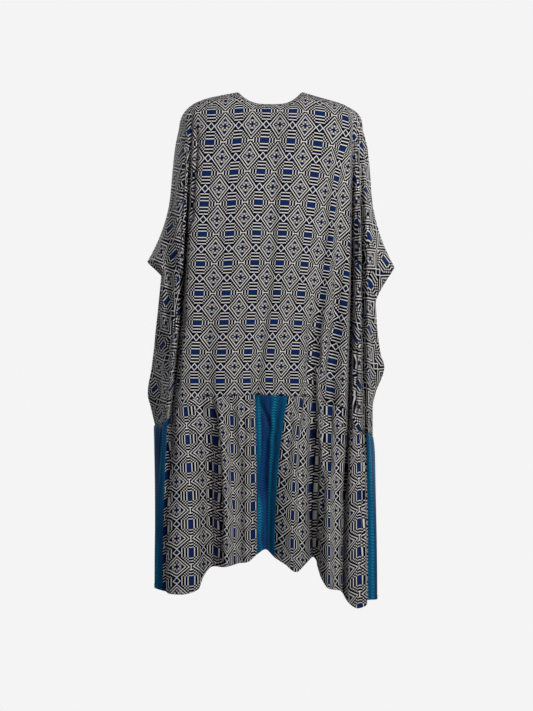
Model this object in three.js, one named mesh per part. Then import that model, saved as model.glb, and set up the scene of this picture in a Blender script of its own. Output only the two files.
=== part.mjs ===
// Open-front kimono robe in thin cloth, as worn with the arms down and nobody in it.
// Millimetres, +Z up. The origin is midway between the two neck points of the shoulder seam, where the
// wearer's shoulders carry the robe. -Y is the wearer's back, +Y the front, +X the wearer's right.
//
// The cloth is drawn by fold lines. Each line is the crest or the bottom of a fold that runs from the
// shoulder seam down to the waist seam, and the cloth between two lines is a smooth curve. Below the waist
// seam a gathered flounce of seven pieces hangs from that seam, with folds of its own.
import * as THREE from "three";

// Cloth and seams
const CLOTH = 1.5; // wall thickness
const SHARPEST = 0.5; // cosine of the sharpest fold at which the wall keeps its thickness
const SEAM_GAP = 0.3; // between two pieces that are sewn together
const COLUMNS_PER_FOLD = 2; // steps of the wall from one fold line to the next
const FLOUNCE_COLUMNS = 2; // steps of the flounce for each step of the body above it

// Heights of the levels at which the fold lines are given
const BLADE_Z = -75; // across the shoulder blades
const ELBOW_Z = -370;
const WAIST_Z = -661; // at the centre back
const BLADE = 1; // the same levels as row numbers, from the shoulder seam (0) to the waist seam (3)
const ELBOW = 2;
const WAIST = 3;

// Neckline and shoulder seam
const NECK_DIP = 34; // how far the back neckline falls below the neck points
const NECK_DEPTH = 50; // how far it lies behind the shoulder seam
const NECK_CURVE = 3;
const SHOULDERS = {
  left: { neck: 74, slope: 0.22, round: 14, tip: 170 },
  right: { neck: 66, slope: 0.33, round: 6, tip: 170 },
}; // round is the extra fall at the tip

// The seam that runs from the shoulder tip down the arm and the side lies a little forward at the elbow
const SIDE_SEAM_Y = [0, 10, 4]; // at the blade, elbow and waist levels

// Half width of the robe at the side seam, seen from behind
const OUTLINE = [
  { z: -75, left: 203, right: 199 },
  { z: -125, left: 213, right: 212 },
  { z: -224, left: 223, right: 220 },
  { z: -372, left: 238, right: 224 },
  { z: -480, left: 248, right: 228 },
  { z: -510, left: 252, right: 230 },
  { z: -576, left: 261, right: 241 },
  { z: -602, left: 264, right: 249 },
  { z: -662, left: 273, right: 229 },
  { z: -692, left: 266, right: 223 },
  { z: -760, left: 250, right: 223 },
];

// Each sleeve end stands out from that outline in a point, and opens below it
const CUFFS = {
  left: { tipZ: -372, reach: 37, rise: 150, fall: 32, riseCurve: 1.5, fallCurve: 1.1 },
  right: { tipZ: -384, reach: 48, rise: 180, fall: 76, riseCurve: 1.5, fallCurve: 1.25 },
};
const CUFF_LENGTH = 190; // of the opening, down the side seam
const CUFF_HALF_WIDTH = 42;

// Fold lines of the back, from the left side seam to the right one.
// x at the shoulder seam, blade, elbow and waist; y at the blade, elbow and waist; z where it meets the
// waist seam; cuff is its share of the sleeve end's reach.
const BACK = [
  { line: "left side seam", x: [-170, -203, -238, -250], y: [0, 10, 4], seamZ: -728, cuff: 1 },
  { line: "left arm crest", x: [-166, -200, -231, -246], y: [-22, -30, -30], seamZ: -729, cuff: 0.5 },
  { line: "left arm hollow", x: [-160, -195, -221, -240], y: [-40, -46, -50], seamZ: -727, cuff: 0.15 },
  { line: "left underarm crest", x: [-153, -187, -204, -232], y: [-58, -78, -72], seamZ: -722, cuff: 0 },
  { line: "left fold outer lip", x: [-147, -179, -193, -223], y: [-68, -84, -84], seamZ: -714, cuff: 0 },
  { line: "left fold bottom", x: [-142, -173, -186, -213], y: [-72, -44, -58], seamZ: -704, cuff: 0 },
  { line: "left fold inner lip", x: [-137, -166, -177, -202], y: [-82, -100, -96], seamZ: -690, cuff: 0 },
  { line: "left blade", x: [-123, -148, -156, -178], y: [-90, -108, -108], seamZ: -673, cuff: 0 },
  { line: "left soft hollow", x: [-108, -126, -136, -150], y: [-94, -108, -97], seamZ: -667, cuff: 0 },
  { line: "left back", x: [-92, -100, -104, -118], y: [-97, -112, -113], seamZ: -664, cuff: 0 },
  { line: "left neck point", x: [-74, -74, -70, -76], y: [-97, -114, -114], seamZ: -663, cuff: 0 },
  { line: "left of centre", x: [-36, -36, -36, -52], y: [-98, -115, -113], seamZ: -662, cuff: 0 },
  { line: "centre crease", x: [6, 10, -4, -35], y: [-94, -108, -103], seamZ: -661, cuff: 0 },
  { line: "right of crease", x: [20, 24, 12, -20], y: [-98, -115, -112], seamZ: -661, cuff: 0 },
  { line: "right of centre", x: [44, 48, 42, 26], y: [-98, -115, -114], seamZ: -663, cuff: 0 },
  { line: "right neck point", x: [66, 74, 76, 56], y: [-97, -114, -112], seamZ: -664, cuff: 0 },
  { line: "right soft hollow", x: [104, 122, 108, 76], y: [-94, -104, -90], seamZ: -665, cuff: 0 },
  { line: "right soft crest", x: [114, 138, 126, 98], y: [-92, -112, -112], seamZ: -667, cuff: 0 },
  { line: "right second hollow", x: [124, 154, 143, 124], y: [-88, -98, -88], seamZ: -680, cuff: 0 },
  { line: "right fold inner lip", x: [134, 169, 164, 156], y: [-79, -102, -106], seamZ: -692, cuff: 0 },
  { line: "right fold bottom", x: [140, 177, 174, 166], y: [-68, -44, -56], seamZ: -712, cuff: 0 },
  { line: "right fold outer lip", x: [145, 181, 182, 175], y: [-63, -86, -97], seamZ: -734, cuff: 0 },
  { line: "right column", x: [150, 185, 189, 187], y: [-56, -89, -98], seamZ: -738, cuff: 0 },
  { line: "right second fold bottom", x: [155, 190, 197, 200], y: [-46, -40, -54], seamZ: -741, cuff: 0 },
  { line: "right second fold lip", x: [159, 195, 206, 208], y: [-37, -70, -72], seamZ: -743, cuff: 0 },
  { line: "right arm column", x: [163, 198, 213, 213], y: [-27, -60, -50], seamZ: -747, cuff: 0 },
  { line: "right arm hollow", x: [167, 199, 217, 219], y: [-14, -30, -26], seamZ: -752, cuff: 0.35 },
  { line: "right side seam", x: [170, 199, 224, 223], y: [0, 10, 4], seamZ: -752, cuff: 1 },
];

// Fold lines of each front, from the side seam to the open front edge
const FRONT_LEFT = [
  { line: "side seam", x: [-170, -203, -238, -250], y: [0, 10, 4], seamZ: -728, cuff: 1 },
  { line: "arm crest", x: [-166, -200, -231, -246], y: [24, 46, 40], seamZ: -729, cuff: 0.5 },
  { line: "arm front", x: [-159, -193, -215, -230], y: [44, 68, 66], seamZ: -724, cuff: 0.1 },
  { line: "fold outer lip", x: [-148, -181, -194, -208], y: [60, 82, 84], seamZ: -712, cuff: 0 },
  { line: "fold bottom", x: [-142, -174, -185, -198], y: [62, 50, 56], seamZ: -704, cuff: 0 },
  { line: "fold inner lip", x: [-136, -165, -176, -188], y: [74, 98, 98], seamZ: -694, cuff: 0 },
  { line: "chest", x: [-120, -141, -144, -152], y: [84, 112, 116], seamZ: -682, cuff: 0 },
  { line: "soft hollow", x: [-106, -118, -114, -118], y: [84, 106, 100], seamZ: -674, cuff: 0 },
  { line: "soft crest", x: [-92, -97, -87, -88], y: [80, 118, 120], seamZ: -669, cuff: 0 },
  { line: "front edge", x: [-74, -74, -57, -53], y: [68, 117, 116], seamZ: -664, cuff: 0 },
];
const FRONT_RIGHT = [
  { line: "side seam", x: [170, 199, 224, 223], y: [0, 10, 4], seamZ: -752, cuff: 1 },
  { line: "arm crest", x: [166, 196, 218, 218], y: [24, 48, 38], seamZ: -750, cuff: 0.5 },
  { line: "arm front", x: [159, 189, 206, 208], y: [44, 70, 66], seamZ: -742, cuff: 0.1 },
  { line: "fold outer lip", x: [148, 178, 190, 193], y: [60, 84, 86], seamZ: -724, cuff: 0 },
  { line: "fold bottom", x: [142, 171, 181, 184], y: [62, 50, 54], seamZ: -714, cuff: 0 },
  { line: "fold inner lip", x: [136, 162, 171, 173], y: [74, 99, 100], seamZ: -704, cuff: 0 },
  { line: "chest", x: [120, 138, 144, 146], y: [84, 112, 117], seamZ: -688, cuff: 0 },
  { line: "soft hollow", x: [104, 116, 120, 121], y: [84, 108, 102], seamZ: -680, cuff: 0 },
  { line: "soft crest", x: [86, 94, 92, 92], y: [80, 118, 119], seamZ: -672, cuff: 0 },
  { line: "front edge", x: [66, 70, 58, 56], y: [68, 117, 116], seamZ: -665, cuff: 0 },
];

// Rows of the body wall, as places between the levels: closer together where the sleeve ends stand out
const ROWS_TO_BLADE = 4;
const BODY_ROWS_Z = [-115, -165, -215, -260, -300, -335, -358, -372, -384, -396, -410, -430, -455];
const ROWS_TO_WAIST = 7;

// Flounce: its folds along the waist seam, from the left front edge round the back to the right front edge.
// at is the fold line of the body above it, counted from the left front edge; x, y, z is its hem; gather is
// its share of the small gathers.
const FLOUNCE = [
  { fold: "left front edge", at: 0, x: -60, y: 122, z: -1020, gather: 0 },
  { fold: "left front crest", at: 0.7, x: -82, y: 134, z: -1026, gather: 1 },
  { fold: "left front hollow", at: 1.6, x: -104, y: 94, z: -1022, gather: 1 },
  { fold: "left front crest 2", at: 2.6, x: -134, y: 134, z: -1036, gather: 1 },
  { fold: "left front hollow 2", at: 3.3, x: -156, y: 92, z: -1036, gather: 0.5 },
  { fold: "left front crest 3", at: 4.1, x: -182, y: 124, z: -1056, gather: 0 },
  { fold: "left front hollow 3", at: 5.2, x: -200, y: 72, z: -1062, gather: 0 },
  { fold: "left side crest", at: 6.4, x: -226, y: 96, z: -1080, gather: 0 },
  { fold: "left side hollow", at: 7.3, x: -238, y: 52, z: -1082, gather: 0.6 },
  { fold: "left side crest 2", at: 8.3, x: -257, y: 30, z: -1080, gather: 0.8 },
  { fold: "left side crest 3", at: 9.6, x: -256, y: -12, z: -1081, gather: 0.8 },
  { fold: "left side crest 4", at: 11.4, x: -252, y: -58, z: -1080, gather: 0.6 },
  { fold: "left seam hollow", at: 13.4, x: -229, y: -76, z: -1084, gather: 0 },
  { fold: "left wide crest start", at: 14.2, x: -216, y: -120, z: -1083, gather: 0 },
  { fold: "left wide crest", at: 15.2, x: -190, y: -130, z: -1083, gather: 0 },
  { fold: "left wide crest end", at: 16.2, x: -156, y: -122, z: -1073, gather: 0.6 },
  { fold: "left fold under", at: 16.8, x: -146, y: -92, z: -1050, gather: 1 },
  { fold: "left dark hollow", at: 17.4, x: -130, y: -60, z: -1034, gather: 1 },
  { fold: "left mid crest", at: 18.2, x: -96, y: -112, z: -1027, gather: 1 },
  { fold: "left small hollow", at: 19.1, x: -70, y: -98, z: -1021, gather: 1 },
  { fold: "left centre crest", at: 20.1, x: -52, y: -112, z: -1017, gather: 1 },
  { fold: "blue left hollow", at: 21, x: -31, y: -80, z: -1004, gather: 0.4 },
  { fold: "blue right hollow", at: 22.2, x: -13, y: -62, z: -996, gather: 0.4 },
  { fold: "blue right edge", at: 23.3, x: 8, y: -88, z: -1011, gather: 0.5 },
  { fold: "right centre crest", at: 23.8, x: 28, y: -112, z: -1021, gather: 1 },
  { fold: "right near crest", at: 24.5, x: 52, y: -126, z: -1036, gather: 1 },
  { fold: "right near crest end", at: 25, x: 72, y: -102, z: -1022, gather: 1 },
  { fold: "right dark hollow", at: 25.6, x: 90, y: -56, z: -1013, gather: 1 },
  { fold: "right wide crest start", at: 26.3, x: 106, y: -108, z: -1052, gather: 0.9 },
  { fold: "right wide crest", at: 27, x: 120, y: -130, z: -1070, gather: 0.8 },
  { fold: "right wide crest end", at: 28, x: 145, y: -120, z: -1076, gather: 0.2 },
  { fold: "right narrow hollow", at: 28.9, x: 153, y: -86, z: -1088, gather: 0 },
  { fold: "right outer crest start", at: 29.9, x: 163, y: -116, z: -1102, gather: 0 },
  { fold: "right outer crest", at: 30.6, x: 182, y: -124, z: -1113, gather: 0 },
  { fold: "right outer crest end", at: 31.4, x: 202, y: -108, z: -1108, gather: 0 },
  { fold: "right seam hollow", at: 32.3, x: 206, y: -70, z: -1104, gather: 0 },
  { fold: "right side crest", at: 34, x: 226, y: -62, z: -1104, gather: 0.4 },
  { fold: "right side crest 2", at: 35.6, x: 231, y: -14, z: -1106, gather: 0.8 },
  { fold: "right side crest 3", at: 36.6, x: 228, y: 28, z: -1102, gather: 0.8 },
  { fold: "right side hollow", at: 37.6, x: 208, y: 54, z: -1098, gather: 0.6 },
  { fold: "right side crest 4", at: 38.7, x: 202, y: 98, z: -1086, gather: 0 },
  { fold: "right front hollow", at: 39.9, x: 182, y: 74, z: -1070, gather: 0 },
  { fold: "right front crest", at: 41, x: 166, y: 124, z: -1060, gather: 0 },
  { fold: "right front hollow 2", at: 41.7, x: 148, y: 92, z: -1048, gather: 0.5 },
  { fold: "right front crest 2", at: 42.4, x: 128, y: 134, z: -1040, gather: 1 },
  { fold: "right front hollow 3", at: 43.4, x: 104, y: 94, z: -1028, gather: 1 },
  { fold: "right front crest 3", at: 44.3, x: 86, y: 132, z: -1026, gather: 1 },
  { fold: "right front edge", at: 45, x: 64, y: 122, z: -1020, gather: 0 },
];
const FLOUNCE_ROWS = 7;
const FLOUNCE_SWING = 2.2; // how soon below the seam the folds open out
const GATHER_DEPTH = 3.2; // of the small gathers just below the waist seam
const GATHERS_PER_LINE = 1; // waves between two fold lines of the body
const GATHER_PEAK = 0.1; // share of the flounce's length at which they are deepest

// Pieces of the flounce between their vertical seams, and the two cloths
const PRINT = { color: 0x6f7190, roughness: 0.85, metalness: 0 };
const BLUE = { color: 0x12496f, roughness: 0.7, metalness: 0 };
const FLOUNCE_PIECES = [
  { name: "flounce_front_left", from: 0, to: 6.25, cloth: PRINT },
  { name: "flounce_side_left", from: 6.25, to: 13, cloth: BLUE },
  { name: "flounce_back_left", from: 13, to: 21, cloth: PRINT },
  { name: "flounce_back_centre", from: 21, to: 23.25, cloth: BLUE },
  { name: "flounce_back_right", from: 23.25, to: 32.5, cloth: PRINT },
  { name: "flounce_side_right", from: 32.5, to: 38.75, cloth: BLUE },
  { name: "flounce_front_right", from: 38.75, to: 45, cloth: PRINT },
];

const mix = (a, b, t) => a + (b - a) * t;
const point = (x, y, z) => new THREE.Vector3(x, y, z);

// A smooth value between the rows of a table that is sorted by a key, with no overshoot
function between(rows, key, at, value) {
  const last = rows.length - 1;
  const rising = rows[last][key] > rows[0][key] ? 1 : -1;
  const k = (i) => rows[i][key] * rising;
  const s = Math.min(Math.max(at * rising, k(0)), k(last));
  let i = 0;
  while (i < last - 1 && s > k(i + 1)) i++;
  const slope = (j) => (value(rows[j + 1]) - value(rows[j])) / (k(j + 1) - k(j));
  const tangent = (j) => {
    if (j === 0) return slope(0);
    if (j === last) return slope(last - 1);
    const a = slope(j - 1);
    const b = slope(j);
    return a * b <= 0 ? 0 : (2 * a * b) / (a + b);
  };
  const h = k(i + 1) - k(i);
  const t = (s - k(i)) / h;
  const [p, q] = [value(rows[i]), value(rows[i + 1])];
  const bend = (t * t * (3 - 2 * t)) * (q - p);
  const ease = tangent(i) * h * t * (1 - t) * (1 - t) - tangent(i + 1) * h * t * t * (1 - t);
  return p + bend + ease;
}

// How far a sleeve end stands out from the outline at a height
function cuffReach(side, z) {
  const c = CUFFS[side];
  const above = (z - c.tipZ) / c.rise;
  const below = (c.tipZ - z) / c.fall;
  if (above >= 1 || below >= 1) return 0;
  return c.reach * (z > c.tipZ ? (1 - above) ** (c.riseCurve + 0.5) : (1 - below) ** c.fallCurve);
}

// Half the width of the sleeve opening at a height: a long eye below the sleeve's point
function cuffOpening(side, z) {
  const down = (CUFFS[side].tipZ - z) / CUFF_LENGTH;
  return down <= 0 || down >= 1 ? 0 : CUFF_HALF_WIDTH * Math.sin(Math.PI * down ** 0.8) ** 0.8;
}

// The shoulder seam, and for the back the neckline between its two neck points
function topPoint(x, isBack) {
  const { neck, slope, round, tip } = SHOULDERS[x < 0 ? "left" : "right"];
  const out = Math.abs(x) / neck;
  if (isBack && out < 1) {
    return point(x, -NECK_DEPTH * Math.sqrt(1 - out * out), -NECK_DIP * (1 - out ** NECK_CURVE));
  }
  const along = Math.max(0, Math.abs(x) - neck);
  return point(x, 0, -along * slope - round * (along / (tip - neck)) ** 6);
}

const onShoulderSeam = (x) => Math.abs(x) >= SHOULDERS[x < 0 ? "left" : "right"].neck - 1e-6;

// The place of one fold line at a row from the blades down
function linePoint(f, row, isBack) {
  const side = f.x[0] < 0 ? "left" : "right";
  const facing = isBack ? -1 : 1;
  const sign = Math.sign(f.x[0]);
  const z = row <= ELBOW ? mix(BLADE_Z, ELBOW_Z, row - BLADE) : mix(ELBOW_Z, f.seamZ, row - ELBOW);
  const levels = [0, 1, 2].map((i) => ({ row: BLADE + i, x: f.x[i + 1], y: f.y[i] }));
  const reach = f.cuff * cuffReach(side, z);
  const x = f.cuff === 1
    ? sign * (between(OUTLINE, "z", z, (r) => r[side]) + reach)
    : between(levels, "row", row, (r) => r.x) + sign * reach;
  const y = between(levels, "row", row, (r) => r.y);
  return point(x, y + facing * f.cuff * cuffOpening(side, z), z);
}

// The body cloth at a place across the fold lines and a row down them
function bodyPoint(lines, isBack, u, row) {
  const hanging = curveAt(lines.map((f) => linePoint(f, Math.max(row, BLADE), isBack)), u);
  if (row >= BLADE) return hanging;
  // a quarter ellipse, flat on the shoulder and hanging at the blade
  const tops = lines.map((f, i) => ({ i, x: f.x[0] }));
  const top = topPoint(between(tops, "i", u, (r) => r.x), isBack);
  const turn = (Math.PI / 2) * row;
  return point(
    mix(top.x, hanging.x, Math.sin(turn)),
    mix(top.y, hanging.y, Math.sin(turn)),
    mix(top.z, hanging.z, 1 - Math.cos(turn)),
  );
}

// A smooth curve through points, at a place counted in points (centripetal, so that it never loops)
function curveAt(points, at) {
  const last = points.length - 1;
  const i = Math.min(Math.floor(at), last - 1);
  const [p1, p2] = [points[i], points[i + 1]];
  const p0 = i > 0 ? points[i - 1] : p1.clone().multiplyScalar(2).sub(p2);
  const p3 = i < last - 1 ? points[i + 2] : p2.clone().multiplyScalar(2).sub(p1);
  const gap = (a, b) => Math.max(Math.sqrt(a.distanceTo(b)), 1e-3);
  const [d0, d1, d2] = [gap(p0, p1), gap(p1, p2), gap(p2, p3)];
  const tangent = (a, b, c, da, db) =>
    b.clone().sub(a).divideScalar(da)
      .sub(c.clone().sub(a).divideScalar(da + db))
      .add(c.clone().sub(b).divideScalar(db));
  const m1 = tangent(p0, p1, p2, d0, d1).multiplyScalar(d1);
  const m2 = tangent(p1, p2, p3, d1, d2).multiplyScalar(d1);
  const t = at - i;
  const s = t * t * (3 - 2 * t);
  return p1.clone().lerp(p2, s)
    .addScaledVector(m1, t * (1 - t) * (1 - t))
    .addScaledVector(m2, -t * t * (1 - t));
}

// A closed wall from a grid of outer points and outward directions
function wall(outer, outward) {
  const rows = outer.length;
  const columns = outer[0].length;
  const inner = outer.map((r, i) => r.map((p, j) => p.clone().addScaledVector(outward[i][j], -CLOTH)));
  const spots = [...outer.flat(), ...inner.flat()];
  const o = (i, j) => i * columns + j;
  const n = (i, j) => rows * columns + o(i, j);
  const faces = [];
  const quad = (a, b, c, d) => faces.push(a, b, c, a, c, d);
  for (let i = 0; i < rows - 1; i++) {
    for (let j = 0; j < columns - 1; j++) {
      quad(o(i, j), o(i + 1, j), o(i + 1, j + 1), o(i, j + 1));
      quad(n(i, j), n(i, j + 1), n(i + 1, j + 1), n(i + 1, j));
    }
    quad(o(i, 0), n(i, 0), n(i + 1, 0), o(i + 1, 0));
    quad(o(i, columns - 1), o(i + 1, columns - 1), n(i + 1, columns - 1), n(i, columns - 1));
  }
  for (let j = 0; j < columns - 1; j++) {
    quad(o(0, j), o(0, j + 1), n(0, j + 1), n(0, j));
    quad(o(rows - 1, j), n(rows - 1, j), n(rows - 1, j + 1), o(rows - 1, j + 1));
  }
  const geometry = new THREE.BufferGeometry();
  geometry.setAttribute("position", new THREE.Float32BufferAttribute(spots.flatMap((p) => [p.x, p.y, p.z]), 3));
  geometry.setIndex(faces);
  geometry.computeVertexNormals();
  return geometry;
}

// The outward direction at each point of a grid: halfway between its two neighbours' sides, and longer
// at a sharp fold so that the wall keeps its thickness there
function outwardOf(grid) {
  const last = grid[0].length - 1;
  return grid.map((row, i) => {
    const above = grid[Math.max(i - 1, 0)];
    const below = grid[Math.min(i + 1, grid.length - 1)];
    return row.map((p, j) => {
      const down = below[j].clone().sub(above[j]);
      const facing = (from, to) => down.clone().cross(row[to].clone().sub(row[from])).normalize();
      const before = facing(Math.max(j - 1, 0), Math.max(j, 1));
      const after = facing(Math.min(j, last - 1), Math.min(j + 1, last));
      const middle = before.clone().add(after).normalize();
      return middle.divideScalar(Math.max(middle.dot(after), SHARPEST));
    });
  });
}

function flatten(v, axis) {
  const length = v.length();
  v[axis] = 0;
  v.setLength(length);
}

// Row numbers of the body, the same for every piece
function bodyRows() {
  const rows = [];
  for (let i = 0; i < ROWS_TO_BLADE; i++) rows.push(i / ROWS_TO_BLADE);
  rows.push(BLADE);
  const belowElbow = (z) => ELBOW + (ELBOW_Z - z) / (ELBOW_Z - WAIST_Z);
  for (const z of BODY_ROWS_Z) {
    rows.push(z >= ELBOW_Z ? BLADE + (BLADE_Z - z) / (BLADE_Z - ELBOW_Z) : belowElbow(z));
  }
  const start = rows[rows.length - 1];
  for (let i = 1; i <= ROWS_TO_WAIST; i++) rows.push(mix(start, WAIST, i / ROWS_TO_WAIST));
  return rows;
}

// One body piece as a grid of outer points and outward directions. Seen from outside, the columns of
// every piece run the same way round the robe: left front edge, left side, back, right side, right front.
function bodyGrid(lines, isBack) {
  const last = lines.length - 1;
  const steps = last * COLUMNS_PER_FOLD;
  const facing = isBack ? -1 : 1;
  const leftFront = !isBack && lines[0].x[0] < 0;
  const rows = bodyRows();
  const places = Array.from({ length: steps + 1 }, (_, j) => j / COLUMNS_PER_FOLD);
  if (leftFront) places.reverse();
  const outer = rows.map((v) => places.map((u) => bodyPoint(lines, isBack, u, v)));
  const outward = outwardOf(outer);
  outer.forEach((row, i) => row.forEach((p, j) => {
    const u = places[j];
    const onSideSeam = u === 0 || (isBack && u === last);
    if (onSideSeam || (i === 0 && onShoulderSeam(p.x))) {
      p.y += (facing * SEAM_GAP) / 2;
      flatten(outward[i][j], "y");
    }
    if (i === rows.length - 1) {
      p.z += SEAM_GAP / 2;
      flatten(outward[i][j], "z");
    }
  }));
  return { outer, outward };
}

// The waist seam as the body's own edge: its points and directions from the left front edge to the right one
function waistSeam(pieces) {
  const edge = [];
  for (const { outer, outward } of pieces) {
    const row = outer.length - 1;
    outer[row].forEach((p, j) => edge.push({ p, n: outward[row][j] }));
  }
  return edge;
}

function seamAt(edge, at) {
  const i = Math.min(Math.floor(at), edge.length - 2);
  const t = at - i;
  const p = edge[i].p.clone().lerp(edge[i + 1].p, t);
  const n = edge[i].n.clone().lerp(edge[i + 1].n, t);
  return { p: p.setZ(p.z - SEAM_GAP), n };
}

// The whole flounce as one grid, from which its pieces are cut
const PER_LINE = COLUMNS_PER_FOLD * FLOUNCE_COLUMNS;
function flounceGrid(edge, spread) {
  const hem = (at) => {
    const c = (key) => between(FLOUNCE, "at", at, (r) => r[key]);
    return point(c("x"), c("y"), c("z"));
  };
  const place = (at, t) => {
    const { p, n } = seamAt(edge, spread(at));
    const swing = 1 - (1 - t) ** FLOUNCE_SWING;
    const end = hem(at);
    const depth = GATHER_DEPTH * between(FLOUNCE, "at", at, (r) => r.gather);
    const gather = depth * (t / GATHER_PEAK) * Math.exp(1 - t / GATHER_PEAK);
    const wave = Math.sin(2 * Math.PI * GATHERS_PER_LINE * at);
    return point(mix(p.x, end.x, swing), mix(p.y, end.y, swing), mix(p.z, end.z, t))
      .addScaledVector(n, gather * wave);
  };
  const columns = FLOUNCE[FLOUNCE.length - 1].at * PER_LINE;
  const outer = [];
  for (let i = 0; i <= FLOUNCE_ROWS; i++) {
    const t = (i / FLOUNCE_ROWS) ** 1.25;
    outer.push(Array.from({ length: columns + 1 }, (_, j) => place(j / PER_LINE, t)));
  }
  const outward = outwardOf(outer);
  outward[0] = outward[0].map((_, j) => seamAt(edge, spread(j / PER_LINE)).n);
  return { outer, outward };
}

// One piece of it; each vertical seam is open by the seam gap
function cutPiece(flounce, { from, to }) {
  const [first, end] = [from * PER_LINE, to * PER_LINE + 1];
  const outer = flounce.outer.map((row) => row.slice(first, end).map((p) => p.clone()));
  const outward = flounce.outward.map((row) => row.slice(first, end));
  for (const row of outer) {
    for (const [k, next] of [[0, 1], [row.length - 1, row.length - 2]]) {
      row[k].addScaledVector(row[next].clone().sub(row[k]).normalize(), SEAM_GAP / 2);
    }
  }
  return { outer, outward };
}

function piece(name, grid, cloth) {
  const mesh = new THREE.Mesh(wall(grid.outer, grid.outward), new THREE.MeshStandardMaterial(cloth));
  mesh.name = name;
  return mesh;
}

const robe = new THREE.Group();
const frontLeft = bodyGrid(FRONT_LEFT, false);
const back = bodyGrid(BACK, true);
const frontRight = bodyGrid(FRONT_RIGHT, false);
robe.add(piece("front_left", frontLeft, PRINT));
robe.add(piece("back", back, PRINT));
robe.add(piece("front_right", frontRight, PRINT));

// Along the waist seam the fold lines are counted from the left front edge, and the two side seams are
// both a line of the front and a line of the back
const edge = waistSeam([frontLeft, back, frontRight]);
const leftSide = FRONT_LEFT.length - 1;
const rightSide = leftSide + BACK.length - 1;
function alongSeam(at) {
  const passed = (at > leftSide ? 1 : 0) + (at > rightSide ? 1 : 0);
  return at * COLUMNS_PER_FOLD + passed;
}
const flounce = flounceGrid(edge, alongSeam);
for (const part of FLOUNCE_PIECES) robe.add(piece(part.name, cutPiece(flounce, part), part.cloth));

export default robe;
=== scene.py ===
# An open-front kimono robe in thin printed cloth, as worn with the arms down and nobody in it.
# +Z is up, -Y the wearer's back, +X the wearer's right. The cloth is worked out in millimetres, and each
# piece is made in metres.
import functools
import math
from collections import namedtuple

import bpy
import numpy as np
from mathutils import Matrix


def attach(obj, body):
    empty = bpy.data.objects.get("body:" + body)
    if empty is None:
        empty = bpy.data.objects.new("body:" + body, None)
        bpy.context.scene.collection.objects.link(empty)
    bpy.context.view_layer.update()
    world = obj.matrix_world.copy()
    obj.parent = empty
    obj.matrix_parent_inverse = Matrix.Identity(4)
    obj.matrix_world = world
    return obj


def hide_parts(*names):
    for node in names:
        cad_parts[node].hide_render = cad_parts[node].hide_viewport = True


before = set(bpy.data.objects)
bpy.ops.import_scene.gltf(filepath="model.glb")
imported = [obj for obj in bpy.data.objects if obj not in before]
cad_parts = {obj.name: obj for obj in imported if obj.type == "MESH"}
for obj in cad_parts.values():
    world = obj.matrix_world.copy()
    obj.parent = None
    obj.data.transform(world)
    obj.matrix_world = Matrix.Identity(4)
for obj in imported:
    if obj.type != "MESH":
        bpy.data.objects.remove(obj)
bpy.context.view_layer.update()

MM = 0.001

# Cloth and seams
CLOTH = 0.8  # thickness of the shown cloth
LINE_STEPS = 8  # steps of the body cloth from one fold line to the next
FLOUNCE_STEPS = 12  # the same for the flounce

# Heights of the levels at which the fold lines are given, and the same levels as row numbers
BLADE_Z, ELBOW_Z, WAIST_Z = -75, -370, -661
BLADE, ELBOW, WAIST = 1, 2, 3
LEVELS = [BLADE, ELBOW, WAIST]

# Neckline and shoulder seam; round is the extra fall at the tip
NECK_DIP, NECK_DEPTH, NECK_CURVE = 34, 50, 3
Shoulder = namedtuple("Shoulder", "neck slope round tip")
SHOULDERS = {"left": Shoulder(74, 0.22, 14, 170), "right": Shoulder(66, 0.33, 6, 170)}

# Half width of the robe at the side seam: height, left, right
OUTLINE = [
    (-75, 203, 199),
    (-125, 213, 212),
    (-224, 223, 220),
    (-372, 238, 224),
    (-480, 248, 228),
    (-510, 252, 230),
    (-576, 261, 241),
    (-602, 264, 249),
    (-662, 273, 229),
    (-692, 266, 223),
    (-760, 250, 223),
]

# Each sleeve end stands out from that outline in a point, and opens below it
Cuff = namedtuple("Cuff", "tip_z reach rise fall rise_curve fall_curve")
CUFFS = {"left": Cuff(-372, 37, 150, 32, 1.5, 1.1), "right": Cuff(-384, 48, 180, 76, 1.5, 1.25)}
CUFF_LENGTH = 190  # of the opening, down the side seam
CUFF_HALF_WIDTH = 42

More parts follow.
